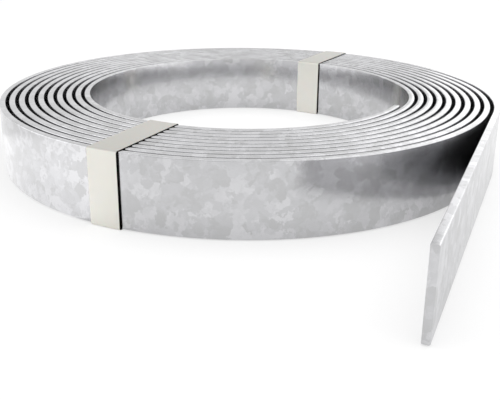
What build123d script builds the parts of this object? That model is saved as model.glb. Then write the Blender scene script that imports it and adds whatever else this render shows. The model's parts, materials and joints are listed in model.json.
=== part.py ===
from build123d import *
from math import asin, cos, degrees, pi, radians
import os

# Coil of flat steel strip, hot-dip galvanised, lying on its side edges with its axis upright.
# The strip winds clockwise and outward, seen from above, and its last length runs off straight.
# Two plastic straps hold the turns together. Sizes are in millimetres and degrees.
# The origin is the centre of the bore, half-way up the strip, and +Z is the coil's axis.

# The strip's section, as slit: the cut rolls over the two edges of the outer face,
# and leaves the two edges of the inner face square
strip_width = 40
strip_thickness = 3.5
edge_rollover = 0.5

# The winding
bore_radius = 101.3
turn_gap = 2.15
turns = 10
step_over_angle = 70

# Where the strip's two ends are, round the axis from +X, and how far the free end runs on
tail_angle = -24.1
inner_end_angle = -27
tail_length = 196

# The straps, each a flat band round all the turns
strap_width = 17.5
strap_thickness = 0.45
strap_slack = 0.02
strap_bend = 0.4
strap_front_angle = -116.2
strap_rear_angle = 60.7
strap_overrun = 5

# Two points of the plan this near each other are one
same_place = 0.01

turn_pitch = strip_thickness + turn_gap
coil_outer_radius = bore_radius + (turns - 1) * turn_pitch + strip_thickness
mid_radius = (bore_radius + coil_outer_radius) / 2


def around(angle, radius):
    """A point of the plan at this radius and angle round the coil's axis."""
    return Vector(radius, 0).rotate(Axis.Z, angle)


def wall_line(offset):
    """The plan line of one wall of the strip, from the inner end to the free end.

    offset is the wall's distance outward from the strip's inner face. Each turn is a round arc
    about the axis, so that the bore is a true cylinder. The turn then climbs by one pitch over
    the step-over, in a wide arc and a tight one that meet half-way, both tangent to the turns.
    """
    half_step = step_over_angle / 2
    centre_shift = turn_pitch / (2 * (1 - cos(radians(half_step))))
    climb_angle = tail_angle + step_over_angle
    line = []
    for turn in range(turns):
        radius = bore_radius + turn * turn_pitch
        start = inner_end_angle if turn == 0 else tail_angle
        round_sweep = start - climb_angle + 360
        wide_centre = around(climb_angle, -centre_shift)
        tight_centre = around(tail_angle, centre_shift)
        wide_radius = radius + centre_shift
        tight_radius = radius + turn_pitch - centre_shift
        line.append(CenterArc((0, 0), radius + offset, start, -round_sweep))
        line.append(CenterArc(wide_centre, wide_radius + offset, climb_angle, -half_step))
        line.append(CenterArc(tight_centre, tight_radius + offset, tail_angle + half_step, -half_step))
    leave = around(tail_angle, bore_radius + turns * turn_pitch + offset)
    line.append(Line(leave, leave + around(tail_angle - 90, tail_length)))
    return line


def runs_along(edge, wall):
    """Whether an edge of the strip lies over or under one of the lines of this wall."""
    middle = edge @ 0.5
    plan_middle = Vector(middle.X, middle.Y)
    return any((plan_middle - line @ 0.5).length < same_place for line in wall)


def make_strip():
    """The whole strip as one solid: its plan outline, as high as the strip is wide."""
    inner_wall = wall_line(0)
    outer_wall = wall_line(strip_thickness)
    inner_end = Line(inner_wall[0] @ 0, outer_wall[0] @ 0)
    free_end = Line(inner_wall[-1] @ 1, outer_wall[-1] @ 1)
    plan = make_face(inner_wall + [free_end] + outer_wall + [inner_end])
    strip = extrude(Pos(0, 0, -strip_width / 2) * plan, amount=strip_width)
    rims = strip.faces().filter_by(Axis.Z).edges()
    return chamfer([rim for rim in rims if runs_along(rim, outer_wall)], edge_rollover)


def make_strap(angle):
    """One band round the section of all the turns, with parallel sides and bent corners.

    Its faces follow the bore and the outside of the coil, a small slack away from the strip.
    """
    inside_length = coil_outer_radius - bore_radius + 2 * strap_slack
    inside_height = strip_width + 2 * strap_slack
    outside = Rectangle(inside_length + 2 * strap_thickness, inside_height + 2 * strap_thickness)
    band = chamfer(outside.vertices(), strap_bend) - Rectangle(inside_length, inside_height)
    half_sweep = degrees(asin((strap_width / 2 + strap_overrun) / bore_radius))
    section = Plane.XZ * Pos(mid_radius, 0) * band
    ring = revolve(Rot(0, 0, -half_sweep) * section, Axis.Z, 2 * half_sweep)
    between_sides = Pos(mid_radius, 0) * Box(2 * inside_length, strap_width, 2 * inside_height)
    return Rot(0, 0, angle) * (ring & between_sides)


pieces = {
    "strip_coil": make_strip(),
    "strap_front": make_strap(strap_front_angle),
    "strap_rear": make_strap(strap_rear_angle),
}

os.makedirs("parts", exist_ok=True)
for name, piece in pieces.items():
    export_step(piece, f"parts/{name}.step")
    print(name, "solids", len(piece.solids()), "volume", round(piece.volume))

print("coil outside diameter", round(2 * coil_outer_radius, 2))
print("strip length about", round(turns * 2 * pi * mid_radius + tail_length))
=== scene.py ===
"""Looks of a coil of galvanised flat strip, held by two plastic straps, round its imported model.

Lengths are in metres and angles in radians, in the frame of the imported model: the origin is the
centre of the bore, half-way up the strip, and +Z is the coil's axis.
"""

import json
from math import asin, atan2, ceil, cos, pi, radians, sin

import bpy
from bpy.props import FloatProperty, IntProperty, PointerProperty, StringProperty
from mathutils import Matrix, Vector


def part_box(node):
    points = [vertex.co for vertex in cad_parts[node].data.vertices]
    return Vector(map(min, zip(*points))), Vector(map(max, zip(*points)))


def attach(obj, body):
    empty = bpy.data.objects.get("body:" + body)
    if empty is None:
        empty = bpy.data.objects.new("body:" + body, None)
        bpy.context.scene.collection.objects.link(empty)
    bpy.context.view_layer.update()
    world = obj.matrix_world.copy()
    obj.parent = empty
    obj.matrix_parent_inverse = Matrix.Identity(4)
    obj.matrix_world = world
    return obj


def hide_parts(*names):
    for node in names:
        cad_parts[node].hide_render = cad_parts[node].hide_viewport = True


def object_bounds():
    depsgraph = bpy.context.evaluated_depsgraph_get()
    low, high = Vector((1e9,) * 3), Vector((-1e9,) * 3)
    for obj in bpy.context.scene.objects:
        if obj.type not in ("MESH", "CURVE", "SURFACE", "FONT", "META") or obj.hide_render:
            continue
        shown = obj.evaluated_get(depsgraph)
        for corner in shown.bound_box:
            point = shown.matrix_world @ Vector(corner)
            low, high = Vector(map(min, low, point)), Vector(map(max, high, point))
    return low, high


bl_info = {
    "name": "Steel Strip Coil",
    "version": (1, 0, 0),
    "blender": (4, 5, 0),
    "location": "3D View > Sidebar > Strip Coil",
    "description": "Winds a coil of galvanised strip, straps it, and sets it on a plain stage",
    "category": "Object",
}

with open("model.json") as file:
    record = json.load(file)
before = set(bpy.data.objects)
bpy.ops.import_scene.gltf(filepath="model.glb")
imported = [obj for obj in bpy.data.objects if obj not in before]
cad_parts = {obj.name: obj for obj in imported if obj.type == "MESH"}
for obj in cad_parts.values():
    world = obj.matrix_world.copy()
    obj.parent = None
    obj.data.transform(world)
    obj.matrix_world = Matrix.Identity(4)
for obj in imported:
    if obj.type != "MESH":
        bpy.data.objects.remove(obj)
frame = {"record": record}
CAD_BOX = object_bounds()

MM = 0.001
UP = Vector((0, 0, 1))

# Two places this near each other are one
NEAR = 0.01 * MM

# Two corners of a mesh this near each other are merged
DOUBLED = 0.001 * MM

# Faces that meet more sharply than this are shaded with an edge between them
SHARP_ANGLE = radians(40)

# Facets across each rounding
OUTER_EDGE_FACETS = 4
INNER_EDGE_FACETS = 3
CUT_END_FACETS = 2
BEND_FACETS = 5
RIM_FACETS = 2

# Where a Mix node has its two colours among its inputs, and their mixture among its outputs
COLOUR_A, COLOUR_B, MIXED_COLOUR = 6, 7, 2

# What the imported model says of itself: the strip's box, the bore and where the straps lie
STRIP_LOW, STRIP_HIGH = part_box("strip_coil")
MOUNTS = {mount["name"]: mount for mount in frame["record"]["mounts"]}
BORE_RADIUS = MOUNTS["coil_bore"]["dims"]["r_mm"] * MM
FLOOR_HEIGHT = CAD_BOX[0].z


def direction(name):
    """The angle round the coil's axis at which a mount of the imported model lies."""
    place = MOUNTS[name]["pos_m"]
    return atan2(place[1], place[0])


def around(angle, radius):
    """A point of the plan at this angle and radius round the coil's axis."""
    return Vector((radius * cos(angle), radius * sin(angle), 0))


# Settings that a user would change

class StripSettings(bpy.types.PropertyGroup):
    """Sizes and finish of the wound strip."""

    bore_radius: FloatProperty(
        name="Bore radius", description="Inner face of the first turn",
        default=BORE_RADIUS, min=0, subtype="DISTANCE", unit="LENGTH")
    outer_radius: FloatProperty(
        name="Outer radius", description="Outer face of the last turn, before its step-over",
        default=STRIP_HIGH.y, min=0, subtype="DISTANCE", unit="LENGTH")
    width: FloatProperty(
        name="Strip width", description="Height of the coil as it lies",
        default=STRIP_HIGH.z - STRIP_LOW.z, min=0, subtype="DISTANCE", unit="LENGTH")
    thickness: FloatProperty(
        name="Strip thickness", description="Steel and zinc together",
        default=3.5 * MM, min=0, subtype="DISTANCE", unit="LENGTH")
    outer_rounding: FloatProperty(
        name="Outer edge rounding", description="Radius left by slitting on the outer face's edges",
        default=0.7 * MM, min=0, subtype="DISTANCE", unit="LENGTH")
    inner_rounding: FloatProperty(
        name="Inner edge rounding", description="Radius of zinc on the inner face's edges",
        default=0.3 * MM, min=0, subtype="DISTANCE", unit="LENGTH")
    cut_rounding: FloatProperty(
        name="Cut end rounding", description="Radius on the rims of the strip's two cut ends",
        default=0.25 * MM, min=0, subtype="DISTANCE", unit="LENGTH")
    turns: IntProperty(name="Turns", description="Whole turns of the strip", default=10, min=2)
    step_over: FloatProperty(
        name="Step-over", description="Angle over which each turn climbs on to the next",
        default=radians(70), subtype="ANGLE", unit="ROTATION")
    tail_angle: FloatProperty(
        name="Tail angle", description="Where the last turn ends and the straight tail begins",
        default=radians(-24.1), subtype="ANGLE", unit="ROTATION")
    inner_end_angle: FloatProperty(
        name="Inner end angle", description="Where the strip begins in the bore",
        default=radians(-27), subtype="ANGLE", unit="ROTATION")
    tail_length: FloatProperty(
        name="Tail length", description="Straight length past the last turn",
        default=196 * MM, min=0, subtype="DISTANCE", unit="LENGTH")
    spin_step: FloatProperty(
        name="Spin step", description="Angle between two rings of the wound mesh",
        default=radians(2), min=radians(0.5), subtype="ANGLE", unit="ROTATION")
    dark_zinc: StringProperty(
        name="Dark spangle", description="Duller zinc crystals", default="#BBBBBC")
    mid_zinc: StringProperty(
        name="Middle spangle", description="Most zinc crystals", default="#C3C3C5")
    light_zinc: StringProperty(
        name="Light spangle", description="Brighter zinc crystals", default="#CECED0")


class StrapSettings(bpy.types.PropertyGroup):
    """Sizes and finish of the two straps."""

    front_angle: FloatProperty(
        name="Front strap", description="Angle of the front strap round the coil's axis",
        default=direction("underside_front"), subtype="ANGLE", unit="ROTATION")
    rear_angle: FloatProperty(
        name="Rear strap", description="Angle of the rear strap round the coil's axis",
        default=direction("underside_rear"), subtype="ANGLE", unit="ROTATION")
    width: FloatProperty(
        name="Strap width", description="Width of the band",
        default=17.5 * MM, min=0, subtype="DISTANCE", unit="LENGTH")
    thickness: FloatProperty(
        name="Strap thickness", description="Thickness of the band",
        default=0.45 * MM, min=0, subtype="DISTANCE", unit="LENGTH")
    slack: FloatProperty(
        name="Slack", description="Room between the band and the strip's edges",
        default=0.02 * MM, min=0, subtype="DISTANCE", unit="LENGTH")
    side_slack: FloatProperty(
        name="Side slack", description="Room between the band and the coil's bore and outside",
        default=0.9 * MM, min=0, subtype="DISTANCE", unit="LENGTH")
    bend_radius: FloatProperty(
        name="Bend radius", description="Outer radius where the band turns over the strip's edges",
        default=1.3 * MM, min=0, subtype="DISTANCE", unit="LENGTH")
    rim_rounding: FloatProperty(
        name="Rim rounding", description="Radius along the band's two long rims",
        default=0.1 * MM, min=0, subtype="DISTANCE", unit="LENGTH")
    spin_step: FloatProperty(
        name="Spin step", description="Angle between two rings of the band's mesh",
        default=radians(1), min=radians(0.5), subtype="ANGLE", unit="ROTATION")
    colour: StringProperty(
        name="Colour", description="Undyed polypropylene", default="#F0EEE6")
    # Painted shade: the band's level stretches are painted a darker grey, for the weaker light from
    # above
    top_shade: StringProperty(
        name="Top_shade", description="On the band's level stretches", default="#B2B0AA")
    # Painted shade: near-black on the band's slit sides and inner face, for the shadow beside and
    # under the band
    painted_shade: StringProperty(
        name="Painted_shade", description="In the band's slit sides and behind it", default="#0C0B0B")


class StageSettings(bpy.types.PropertyGroup):
    """Floor, lamps and camera."""

    floor_size: FloatProperty(
        name="Floor size", description="Side of the square floor",
        default=6.0, min=0, subtype="DISTANCE", unit="LENGTH")
    floor_colour: StringProperty(
        name="Floor colour", description="Plain white floor", default="#FBFBFB")
    shadow_share: FloatProperty(
        name="Shadow share", description="How much of the object's shadow the white floor keeps",
        default=0.4, min=0, max=1, subtype="FACTOR")
    mirrored_shadow: FloatProperty(
        name="Mirrored shadow", description="How much of that shadow shows in the metal",
        default=0.6, min=0, max=1, subtype="FACTOR")
    sky_strength: FloatProperty(
        name="Light from above", description="Strength of the ceiling that lights matt surfaces",
        default=1.15, min=0)
    mirrored_ceiling: FloatProperty(
        name="Mirrored ceiling", description="Strength of the ceiling where the metal mirrors it",
        default=0.6, min=0)
    left_power: FloatProperty(
        name="Left lamp", description="Power of the large soft lamp on the left",
        default=5.6, min=0, unit="POWER")
    right_power: FloatProperty(
        name="Right lamp", description="Power of the large soft lamp on the right",
        default=5.6, min=0, unit="POWER")
    rear_power: FloatProperty(
        name="Rear lamp", description="Power of the large soft lamp behind on the right",
        default=5.2, min=0, unit="POWER")
    top_power: FloatProperty(
        name="Top lamp", description="Power of the large soft lamp overhead",
        default=9.5, min=0, unit="POWER")
    left_panel_power: FloatProperty(
        name="Left panel", description="Power of the lamp that lies face up on the left",
        default=0.08, min=0, unit="POWER")
    right_panel_power: FloatProperty(
        name="Right panel", description="Power of the lamp that lies face up on the right",
        default=0.8, min=0, unit="POWER")
    camera_distance: FloatProperty(
        name="Camera distance", description="From the coil's axis, straight out over the front",
        default=467.8 * MM, min=0, subtype="DISTANCE", unit="LENGTH")
    camera_height: FloatProperty(
        name="Camera height", description="Above the middle of the strip",
        default=124.6 * MM, subtype="DISTANCE", unit="LENGTH")
    camera_pitch: FloatProperty(
        name="Camera pitch", description="Downwards from level",
        default=radians(18.438), subtype="ANGLE", unit="ROTATION")
    camera_yaw: FloatProperty(
        name="Camera yaw", description="To the right of the coil's axis",
        default=radians(0.418), subtype="ANGLE", unit="ROTATION")
    camera_roll: FloatProperty(
        name="Camera roll", description="About the line of sight",
        default=radians(0.532), subtype="ANGLE", unit="ROTATION")
    lens: FloatProperty(
        name="Lens", description="Focal length in millimetres", default=51.54, min=1, unit="CAMERA")
    shift: FloatProperty(
        name="Shift", description="Vertical shift of the lens, as a share of the picture's width",
        default=-0.08)


# Modelling helpers

def deselect():
    """Leaves nothing selected. After loading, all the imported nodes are."""
    for each in bpy.context.selected_objects:
        each.select_set(False)


def upright_plane(name, length, height, angle, radius):
    """A rectangle that stands on a radius of the coil, with its middle at this angle and radius."""
    deselect()
    bpy.ops.mesh.primitive_plane_add(
        size=1, location=around(angle, radius), rotation=(pi / 2, 0, angle))
    piece = bpy.context.object
    piece.name = piece.data.name = name
    piece.scale = (length, height, 1)
    bpy.ops.object.transform_apply(location=True, rotation=True, scale=True)
    return piece


def select(elements, piece, is_wanted):
    """Selects, in edit mode, the vertices or faces of a piece that pass the test."""
    bpy.ops.object.mode_set(mode="OBJECT")
    for each in (*piece.data.vertices, *piece.data.edges, *piece.data.polygons):
        each.select = False
    for each in elements:
        each.select = is_wanted(each)
    kind = "VERT" if elements == piece.data.vertices else "FACE"
    bpy.ops.object.mode_set(mode="EDIT")
    bpy.ops.mesh.select_mode(type=kind)


def spin(sweep, step, centre=(0, 0, 0)):
    """Sweeps the selected section clockwise, seen from above, as the operator does of itself."""
    bpy.ops.mesh.spin(steps=ceil(sweep / step), angle=sweep, center=centre, axis=UP)


def close_and_smooth(piece):
    """Merges doubled points, turns all faces outward and shades the curves smooth."""
    bpy.ops.mesh.select_all(action="SELECT")
    bpy.ops.mesh.remove_doubles(threshold=DOUBLED)
    bpy.ops.mesh.normals_make_consistent(inside=False)
    bpy.ops.object.mode_set(mode="OBJECT")
    bpy.ops.object.shade_smooth_by_angle(angle=SHARP_ANGLE)


def finish_piece(piece, material, packed_node):
    """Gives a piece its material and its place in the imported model."""
    piece.data.materials.append(material)
    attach(piece, "root")
    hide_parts(packed_node)


# Materials

def linear(hex_colour):
    """An sRGB colour written as #RRGGBB, turned to linear light."""
    shares = [int(hex_colour[place:place + 2], 16) / 255 for place in (1, 3, 5)]
    return [s / 12.92 if s <= 0.04045 else ((s + 0.055) / 1.055) ** 2.4 for s in shares] + [1]


def node(tree, kind, inputs=None, **settings):
    """Adds a node with its settings, and gives each named input a value or a link."""
    made = tree.nodes.new(kind)
    for name, value in settings.items():
        setattr(made, name, value)
    for key, value in (inputs or {}).items():
        if isinstance(value, bpy.types.NodeSocket):
            tree.links.new(value, made.inputs[key])
        else:
            made.inputs[key].default_value = value
    return made


def new_material(name):
    """An empty node material."""
    material = bpy.data.materials.new(name)
    material.use_nodes = True
    material.node_tree.nodes.clear()
    return material, material.node_tree


def reflected(tree, rays):
    """1 where a ray comes by way of metal or glass, and otherwise 0."""
    ways = {0: rays["Is Glossy Ray"], 1: rays["Is Transmission Ray"]}
    return node(tree, "ShaderNodeMath", ways, operation="MAXIMUM").outputs[0]


def galvanised_steel(settings):
    """Hot-dip galvanised steel.

    The strip is drawn through molten zinc, which freezes into crystals a few millimetres across.
    Each crystal reflects a little differently, so the dull metal looks softly mottled, in torn
    patches with finer flakes between them. The grain of its skin is drawn coarser than it is, so
    that it shows.
    """
    material, tree = new_material("hot_dip_galvanised_steel")
    patch_size = 7 * MM
    flake_size = 3 * MM
    field_size = 14 * MM
    tear_size = 4 * MM
    tear_reach = 9 * MM
    grain_size = 0.5 * MM
    grain_height = 0.004 * MM
    smooth_zinc = 0.19
    dull_zinc = 0.22
    least_flakes = 0.1
    most_flakes = 0.6
    place = node(tree, "ShaderNodeTexCoord").outputs["Object"]
    tear = node(tree, "ShaderNodeTexNoise", {
        "Vector": place, "Scale": 1 / tear_size, "Detail": 4.0, "Roughness": 0.6})
    centred = node(tree, "ShaderNodeVectorMath", {
        0: tear.outputs["Color"], 1: (0.5, 0.5, 0.5)}, operation="SUBTRACT")
    reach = node(tree, "ShaderNodeVectorMath", {
        0: centred.outputs[0], "Scale": tear_reach}, operation="SCALE")
    torn = node(tree, "ShaderNodeVectorMath", {
        0: place, 1: reach.outputs[0]}, operation="ADD").outputs[0]
    patch = node(tree, "ShaderNodeTexVoronoi", {"Vector": torn, "Scale": 1 / patch_size})
    flake = node(tree, "ShaderNodeTexVoronoi", {"Vector": torn, "Scale": 1 / flake_size})
    patch_chance = node(tree, "ShaderNodeSeparateColor", {0: patch.outputs["Color"]}).outputs
    flake_chance = node(tree, "ShaderNodeSeparateColor", {0: flake.outputs["Color"]}).outputs
    field = node(tree, "ShaderNodeTexNoise", {
        "Vector": place, "Scale": 1 / field_size, "Detail": 2.0})
    flakes = node(tree, "ShaderNodeMapRange", {
        "Value": field.outputs[0], "From Min": 0.42, "From Max": 0.6,
        "To Min": least_flakes, "To Max": most_flakes})
    tone = node(tree, "ShaderNodeMix", {
        "Factor": flakes.outputs[0], "A": patch_chance["Red"], "B": flake_chance["Red"]})
    colour = node(tree, "ShaderNodeValToRGB", {0: tone.outputs[0]})
    colour.color_ramp.elements.new(0.5)
    stops = ((0.15, settings.dark_zinc), (0.5, settings.mid_zinc), (0.85, settings.light_zinc))
    for element, (position, hex_colour) in zip(colour.color_ramp.elements, stops):
        element.position = position
        element.color = linear(hex_colour)
    rough = node(tree, "ShaderNodeMapRange", {
        "Value": patch_chance["Green"], "To Min": smooth_zinc, "To Max": dull_zinc})
    grain = node(tree, "ShaderNodeTexNoise", {
        "Vector": place, "Scale": 1 / grain_size, "Detail": 2.0})
    bump = node(tree, "ShaderNodeBump", {
        "Strength": 0.5, "Distance": grain_height, "Height": grain.outputs[0]})
    shader = node(tree, "ShaderNodeBsdfPrincipled", {
        "Base Color": colour.outputs[0], "Metallic": 1.0, "Roughness": rough.outputs[0],
        "Normal": bump.outputs[0]})
    node(tree, "ShaderNodeOutputMaterial", {"Surface": shader.outputs[0]})
    return material


def polypropylene(settings):
    """Extruded polypropylene strapping, undyed.

    The band is drawn through a die, stretched and slit, so it is smooth, with a soft sheen and
    faint lines along its length, which are drawn coarser than they are, so that they show. Its
    slit sides and the faces behind it are painted near-black, a painted shade that draws a thin
    dark line along each rim, and its level stretches are painted a darker grey, a painted shade for
    the weaker light from above.
    """
    material, tree = new_material("extruded_polypropylene")
    line_spacing = 0.6 * MM
    line_height = 0.006 * MM
    cloud_size = 12 * MM
    cloud_shade = 0.94
    glow_depth = 0.5 * MM
    smooth_line = 0.34
    dull_line = 0.46
    side = settings.width / 2
    across = node(tree, "ShaderNodeAttribute", attribute_name="across").outputs["Fac"]
    lines = node(tree, "ShaderNodeTexNoise", {
        "W": across, "Scale": 1 / line_spacing, "Detail": 1.0}, noise_dimensions="1D")
    place = node(tree, "ShaderNodeTexCoord").outputs["Object"]
    cloud = node(tree, "ShaderNodeTexNoise", {
        "Vector": place, "Scale": 1 / cloud_size, "Detail": 2.0})
    base = linear(settings.colour)
    shaded = [channel * cloud_shade for channel in base[:3]] + [1]
    clouded = node(tree, "ShaderNodeMix", {
        "Factor": cloud.outputs[0], COLOUR_A: shaded, COLOUR_B: base}, data_type="RGBA")
    # Painted shade: faces that look up are painted a darker grey, for the weaker light from above
    normal = node(tree, "ShaderNodeNewGeometry").outputs["Normal"]
    level = node(tree, "ShaderNodeSeparateXYZ", {0: normal}).outputs["Z"]
    top_shade = node(tree, "ShaderNodeMapRange", {"Value": level, "From Min": 0.5, "From Max": 0.95})
    top_shaded = node(tree, "ShaderNodeMix", {
        "Factor": top_shade.outputs[0], COLOUR_A: clouded.outputs[MIXED_COLOUR],
        COLOUR_B: linear(settings.top_shade)}, data_type="RGBA")
    # Painted shade: the slit sides and the faces behind the band are painted near-black and lose
    # their sheen
    off_middle = node(tree, "ShaderNodeMath", {0: across}, operation="ABSOLUTE")
    slit = node(tree, "ShaderNodeMapRange", {
        "Value": off_middle.outputs[0], "From Min": side - settings.rim_rounding, "From Max": side})
    tucked = node(tree, "ShaderNodeAttribute", attribute_name="tucked").outputs["Fac"]
    painted_shade_mask = node(tree, "ShaderNodeMath", {0: slit.outputs[0], 1: tucked}, operation="MAXIMUM")
    colour = node(tree, "ShaderNodeMix", {
        "Factor": painted_shade_mask.outputs[0], COLOUR_A: top_shaded.outputs[MIXED_COLOUR],
        COLOUR_B: linear(settings.painted_shade)}, data_type="RGBA")
    shine = node(tree, "ShaderNodeMath", {0: 1.0, 1: painted_shade_mask.outputs[0]}, operation="SUBTRACT")
    rough = node(tree, "ShaderNodeMapRange", {
        "Value": lines.outputs[0], "To Min": smooth_line, "To Max": dull_line})
    bump = node(tree, "ShaderNodeBump", {
        "Strength": 0.4, "Distance": line_height, "Height": lines.outputs[0]})
    shader = node(tree, "ShaderNodeBsdfPrincipled", {
        "Base Color": colour.outputs[MIXED_COLOUR], "Roughness": rough.outputs[0],
        "Normal": bump.outputs[0], "Specular Tint": shine.outputs[0], "IOR": 1.49,
        "Subsurface Weight": 0.1, "Subsurface Scale": glow_depth})
    node(tree, "ShaderNodeOutputMaterial", {"Surface": shader.outputs[0]})
    return material


def white_floor(settings):
    """Plain matt white, as bright as the background, but for a part of the object's shadow."""
    material, tree = new_material("matt_white_floor")
    colour = linear(settings.floor_colour)
    rays = node(tree, "ShaderNodeLightPath").outputs
    matt = node(tree, "ShaderNodeBsdfDiffuse", {"Color": colour})
    plain = node(tree, "ShaderNodeEmission", {"Color": colour, "Strength": 1.0})
    seen = node(tree, "ShaderNodeMath", {
        0: rays["Is Camera Ray"], 1: 1 - settings.shadow_share}, operation="MULTIPLY")
    mirrored = node(tree, "ShaderNodeMath", {
        0: reflected(tree, rays), 1: 1 - settings.mirrored_shadow}, operation="MULTIPLY")
    share = node(tree, "ShaderNodeMath", {
        0: seen.outputs[0], 1: mirrored.outputs[0]}, operation="ADD")
    mixed = node(tree, "ShaderNodeMixShader", {
        0: share.outputs[0], 1: matt.outputs[0], 2: plain.outputs[0]})
    node(tree, "ShaderNodeOutputMaterial", {"Surface": mixed.outputs[0]})
    return material


# Operators

class COIL_OT_wind_strip(bpy.types.Operator):
    """Wind the strip from its end in the bore to its straight tail"""

    bl_idname = "coil.wind_strip"
    bl_label = "Wind the strip"

    def execute(self, context):
        sizes = context.scene.strip_settings
        turns = [self.wind_turn(sizes, turn) for turn in range(sizes.turns)]
        strip = self.join_turns(turns, sizes)
        close_and_smooth(strip)
        finish_piece(strip, galvanised_steel(sizes), "strip_coil")
        return {"FINISHED"}

    def wind_turn(self, sizes, turn):
        """One turn: a round arc, then a wide and a tight arc that climb by one pitch.

        The first turn begins at the cut end in the bore, and the last one runs on into the tail.
        """
        pitch = (sizes.outer_radius - sizes.bore_radius - sizes.thickness) / (sizes.turns - 1)
        half_step = sizes.step_over / 2
        centre_shift = pitch / (2 * (1 - cos(half_step)))
        climb_angle = sizes.tail_angle + sizes.step_over
        start = sizes.inner_end_angle if turn == 0 else sizes.tail_angle
        piece = self.stand_section(sizes, start, sizes.bore_radius + turn * pitch)
        spin(start - climb_angle + 2 * pi, sizes.spin_step)
        spin(half_step, sizes.spin_step, around(climb_angle, -centre_shift))
        spin(half_step, sizes.spin_step, around(sizes.tail_angle, centre_shift))
        if turn == sizes.turns - 1:
            run = around(sizes.tail_angle - pi / 2, sizes.tail_length)
            bpy.ops.mesh.extrude_region_move(TRANSFORM_OT_translate={"value": run})
            bpy.ops.mesh.bevel(offset=sizes.cut_rounding, segments=CUT_END_FACETS, affect="EDGES")
        if turn == 0:
            ahead = around(start - pi / 2, 1)
            select(piece.data.vertices, piece, lambda vertex: abs(vertex.co.dot(ahead)) < NEAR)
            bpy.ops.mesh.bevel(offset=sizes.cut_rounding, segments=CUT_END_FACETS, affect="EDGES")
        bpy.ops.object.mode_set(mode="OBJECT")
        return piece

    def stand_section(self, sizes, angle, radius):
        """The strip's section with its rounded edges, its inner face at this angle and radius."""
        middle = radius + sizes.thickness / 2
        piece = upright_plane("wound_strip", sizes.thickness, sizes.width, angle, middle)
        select(piece.data.vertices, piece, lambda vertex: vertex.co.xy.length > middle)
        bpy.ops.mesh.bevel(
            offset=sizes.outer_rounding, segments=OUTER_EDGE_FACETS, affect="VERTICES")
        select(piece.data.vertices, piece, lambda vertex: vertex.co.xy.length < radius + NEAR)
        bpy.ops.mesh.bevel(
            offset=sizes.inner_rounding, segments=INNER_EDGE_FACETS, affect="VERTICES")
        bpy.ops.mesh.select_all(action="SELECT")
        return piece

    def join_turns(self, turns, sizes):
        """Joins the turns and takes out the sections left inside where they meet."""
        # A section faces along the run at least this squarely
        square_on = 0.9
        deselect()
        for piece in turns:
            piece.select_set(True)
        strip = bpy.context.view_layer.objects.active = turns[0]
        bpy.ops.object.join()
        ahead = around(sizes.tail_angle - pi / 2, 1)
        select(strip.data.polygons, strip, lambda face: (
            abs(face.center.dot(ahead)) < NEAR and abs(face.normal.dot(ahead)) > square_on))
        bpy.ops.mesh.delete(type="ONLY_FACE")
        return strip


class COIL_OT_fit_straps(bpy.types.Operator):
    """Fit the two straps round the turns"""

    bl_idname = "coil.fit_straps"
    bl_label = "Fit the straps"

    def execute(self, context):
        sizes = context.scene.strap_settings
        strip = context.scene.strip_settings
        material = polypropylene(sizes)
        for name, angle in (("front", sizes.front_angle), ("rear", sizes.rear_angle)):
            strap = self.fit(f"band_{name}", angle, sizes, strip)
            finish_piece(strap, material, f"strap_{name}")
        return {"FINISHED"}

    def fit(self, name, angle, sizes, strip):
        """One band: its section is spun past the band's width and cut to parallel sides."""
        # The share of the width that is spun to each side of the band's middle
        reach = 0.75
        # Edges sharper than this are the band's rims
        rim_angle = radians(50)
        length = strip.outer_radius - strip.bore_radius + 2 * (sizes.side_slack + sizes.thickness)
        height = strip.width + 2 * (sizes.slack + sizes.thickness)
        middle = (strip.outer_radius + strip.bore_radius) / 2
        half_sweep = asin(reach * sizes.width / strip.bore_radius)
        strap = upright_plane(name, length, height, angle + half_sweep, middle)
        bpy.ops.object.mode_set(mode="EDIT")
        bpy.ops.mesh.select_all(action="SELECT")
        bpy.ops.mesh.bevel(offset=sizes.bend_radius, segments=BEND_FACETS, affect="VERTICES")
        bpy.ops.mesh.inset(thickness=sizes.thickness)
        bpy.ops.mesh.delete(type="ONLY_FACE")
        bpy.ops.mesh.select_all(action="SELECT")
        spin(2 * half_sweep, sizes.spin_step)
        along = around(angle + pi / 2, 1)
        for side in (-1, 1):
            bpy.ops.mesh.select_all(action="SELECT")
            bpy.ops.mesh.bisect(
                plane_co=along * side * sizes.width / 2, plane_no=along * side, clear_outer=True)
            bpy.ops.mesh.bridge_edge_loops()
        close_and_smooth(strap)
        bpy.ops.object.modifier_add(type="BEVEL")
        rounding = strap.modifiers[-1]
        rounding.width = sizes.rim_rounding
        rounding.segments = RIM_FACETS
        rounding.limit_method = "ANGLE"
        rounding.angle_limit = rim_angle
        bpy.ops.object.modifier_apply(modifier=rounding.name)
        across = strap.data.attributes.new("across", "FLOAT", "POINT")
        # tucked marks the faces behind the band, which the material paints near-black as shade
        tucked = strap.data.attributes.new("tucked", "FLOAT", "POINT")
        for vertex in strap.data.vertices:
            across.data[vertex.index].value = vertex.co.dot(along)
            core = vertex.co.xy.normalized().to_3d() * middle
            tucked.data[vertex.index].value = float(vertex.normal.dot(vertex.co - core) < 0)
        return strap


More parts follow.
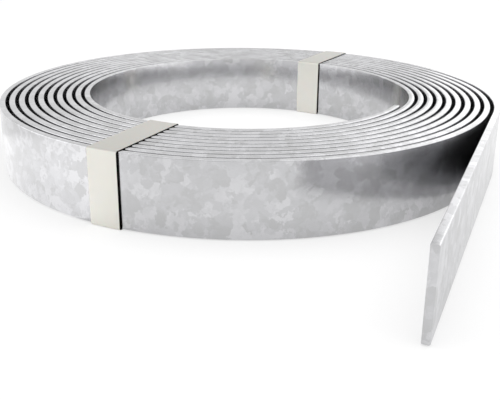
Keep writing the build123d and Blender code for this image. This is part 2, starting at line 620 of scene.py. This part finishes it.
class COIL_OT_set_stage(bpy.types.Operator):
    """Set up the floor, the light and the camera"""

    bl_idname = "coil.set_stage"
    bl_label = "Set the stage"

    def execute(self, context):
        settings = context.scene.stage_settings
        self.lay_floor(settings)
        self.light_world(context.scene, settings)
        self.hang_lamp("left_lamp", settings.left_power, place=(-1.4, 0, 0.7), size=1.6)
        self.hang_lamp("right_lamp", settings.right_power, place=(1.2, -0.25, 0.7), size=1.6)
        self.hang_lamp("rear_lamp", settings.rear_power, place=(1, 1, 0.7), size=1.6)
        self.hang_lamp("top_lamp", settings.top_power, place=(0, 0, 1.6), size=2)
        self.lay_panel(
            "left_panel", settings.left_panel_power,
            bearing=radians(-145), start=0.145, size=(0.4, 0.2), slide=-0.02)
        self.lay_panel(
            "right_panel", settings.right_panel_power,
            bearing=radians(-24), start=0.3, size=(0.6, 0.6), slide=0)
        self.place_camera(context.scene, settings)
        context.scene.view_settings.view_transform = "Standard"
        return {"FINISHED"}

    def lay_floor(self, settings):
        """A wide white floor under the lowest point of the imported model."""
        deselect()
        bpy.ops.mesh.primitive_plane_add(size=settings.floor_size, location=(0, 0, FLOOR_HEIGHT))
        floor = bpy.context.object
        floor.name = "stage_floor"
        floor.data.materials.append(white_floor(settings))

    def light_world(self, scene, settings):
        """White all round where it is seen, and a white ceiling where it lights matt surfaces.

        Metal mirrors the same white, which fades to the ceiling's softer tone above low_sky.
        """
        low_sky = radians(27)
        high_sky = radians(53)
        scene.world = bpy.data.worlds.new("white_studio")
        scene.world.use_nodes = True
        tree = scene.world.node_tree
        tree.nodes.clear()
        rays = node(tree, "ShaderNodeLightPath").outputs
        way = node(tree, "ShaderNodeTexCoord").outputs["Generated"]
        height = node(tree, "ShaderNodeSeparateXYZ", {0: way}).outputs["Z"]
        fade = node(tree, "ShaderNodeMapRange", {
            "Value": height, "From Min": sin(low_sky), "From Max": sin(high_sky),
            "To Min": 1.0, "To Max": settings.mirrored_ceiling})
        mirrored = node(tree, "ShaderNodeMath", {
            0: reflected(tree, rays), 1: fade.outputs[0]}, operation="MULTIPLY")
        seen = node(tree, "ShaderNodeMath", {
            0: rays["Is Camera Ray"], 1: mirrored.outputs[0]}, operation="MAXIMUM")
        ceiling = node(tree, "ShaderNodeMapRange", {
            "Value": height, "To Max": settings.sky_strength})
        lit = node(tree, "ShaderNodeMath", {
            0: ceiling.outputs[0], 1: rays["Is Diffuse Ray"]}, operation="MULTIPLY")
        strength = node(tree, "ShaderNodeMath", {
            0: seen.outputs[0], 1: lit.outputs[0]}, operation="ADD")
        light = node(tree, "ShaderNodeBackground", {
            "Color": (1, 1, 1, 1), "Strength": strength.outputs[0]})
        node(tree, "ShaderNodeOutputWorld", {"Surface": light.outputs[0]})

    def hang_lamp(self, name, power, place, size):
        """A square soft lamp that faces the coil."""
        turn = Vector(place).to_track_quat("Z", "Y").to_euler()
        self.add_lamp(name, power, place, (size, size), turn)

    def lay_panel(self, name, power, bearing, start, size, slide):
        """A soft lamp that lies face up on the floor and shines up the sides of the coil.

        It lies out along its bearing, with its near edge at start from the coil's axis, and is slid
        along that edge, anticlockwise seen from above. It is thin enough to go under the strip,
        into the room that the straps leave there.
        """
        length, _ = size
        place = around(bearing, start + length / 2) + around(bearing + pi / 2, slide)
        place.z = (FLOOR_HEIGHT + STRIP_LOW.z) / 2
        self.add_lamp(name, power, place, size, (pi, 0, bearing))

    def add_lamp(self, name, power, place, size, turn):
        """A lamp of this length and width that the camera doesn't see."""
        bpy.ops.object.light_add(type="AREA", location=place, rotation=turn)
        lamp = bpy.context.object
        lamp.name = name
        lamp.visible_camera = False
        lamp.data.energy = power
        lamp.data.shape = "RECTANGLE"
        lamp.data.size, lamp.data.size_y = size

    def place_camera(self, scene, settings):
        """The photograph's viewpoint: in front, a little above, looking down."""
        nearest = 10 * MM
        place = Matrix.Translation((0, -settings.camera_distance, settings.camera_height))
        yaw = Matrix.Rotation(-settings.camera_yaw, 4, "Z")
        pitch = Matrix.Rotation(pi / 2 - settings.camera_pitch, 4, "X")
        roll = Matrix.Rotation(settings.camera_roll, 4, "Z")
        bpy.ops.object.camera_add()
        camera = bpy.context.object
        camera.name = "photo_camera"
        camera.matrix_world = place @ yaw @ pitch @ roll
        camera.data.lens = settings.lens
        camera.data.shift_y = settings.shift
        camera.data.clip_start = nearest
        scene.camera = camera


class COIL_PT_sidebar(bpy.types.Panel):
    """Buttons and sizes for the coil in the 3D view's sidebar"""

    bl_idname = "COIL_PT_sidebar"
    bl_label = "Strip Coil"
    bl_space_type = "VIEW_3D"
    bl_region_type = "UI"
    bl_category = "Strip Coil"

    def draw(self, context):
        for operator, settings in STEPS:
            box = self.layout.box()
            box.operator(operator)
            group = getattr(context.scene, settings)
            for name in group.__annotations__:
                box.prop(group, name)


CLASSES = (StripSettings, StrapSettings, StageSettings,
           COIL_OT_wind_strip, COIL_OT_fit_straps, COIL_OT_set_stage, COIL_PT_sidebar)
STEPS = (("coil.wind_strip", "strip_settings"),
         ("coil.fit_straps", "strap_settings"),
         ("coil.set_stage", "stage_settings"))


def register():
    """Registers the classes and hangs the settings on the scene."""
    for each in CLASSES:
        bpy.utils.register_class(each)
    bpy.types.Scene.strip_settings = PointerProperty(type=StripSettings)
    bpy.types.Scene.strap_settings = PointerProperty(type=StrapSettings)
    bpy.types.Scene.stage_settings = PointerProperty(type=StageSettings)


def unregister():
    """Undoes register."""
    for _, settings in STEPS:
        delattr(bpy.types.Scene, settings)
    for each in reversed(CLASSES):
        bpy.utils.unregister_class(each)


def main():
    """Builds the coil and its stage."""
    register()
    bpy.ops.coil.wind_strip()
    bpy.ops.coil.fit_straps()
    bpy.ops.coil.set_stage()


if __name__ == "__main__":
    main()
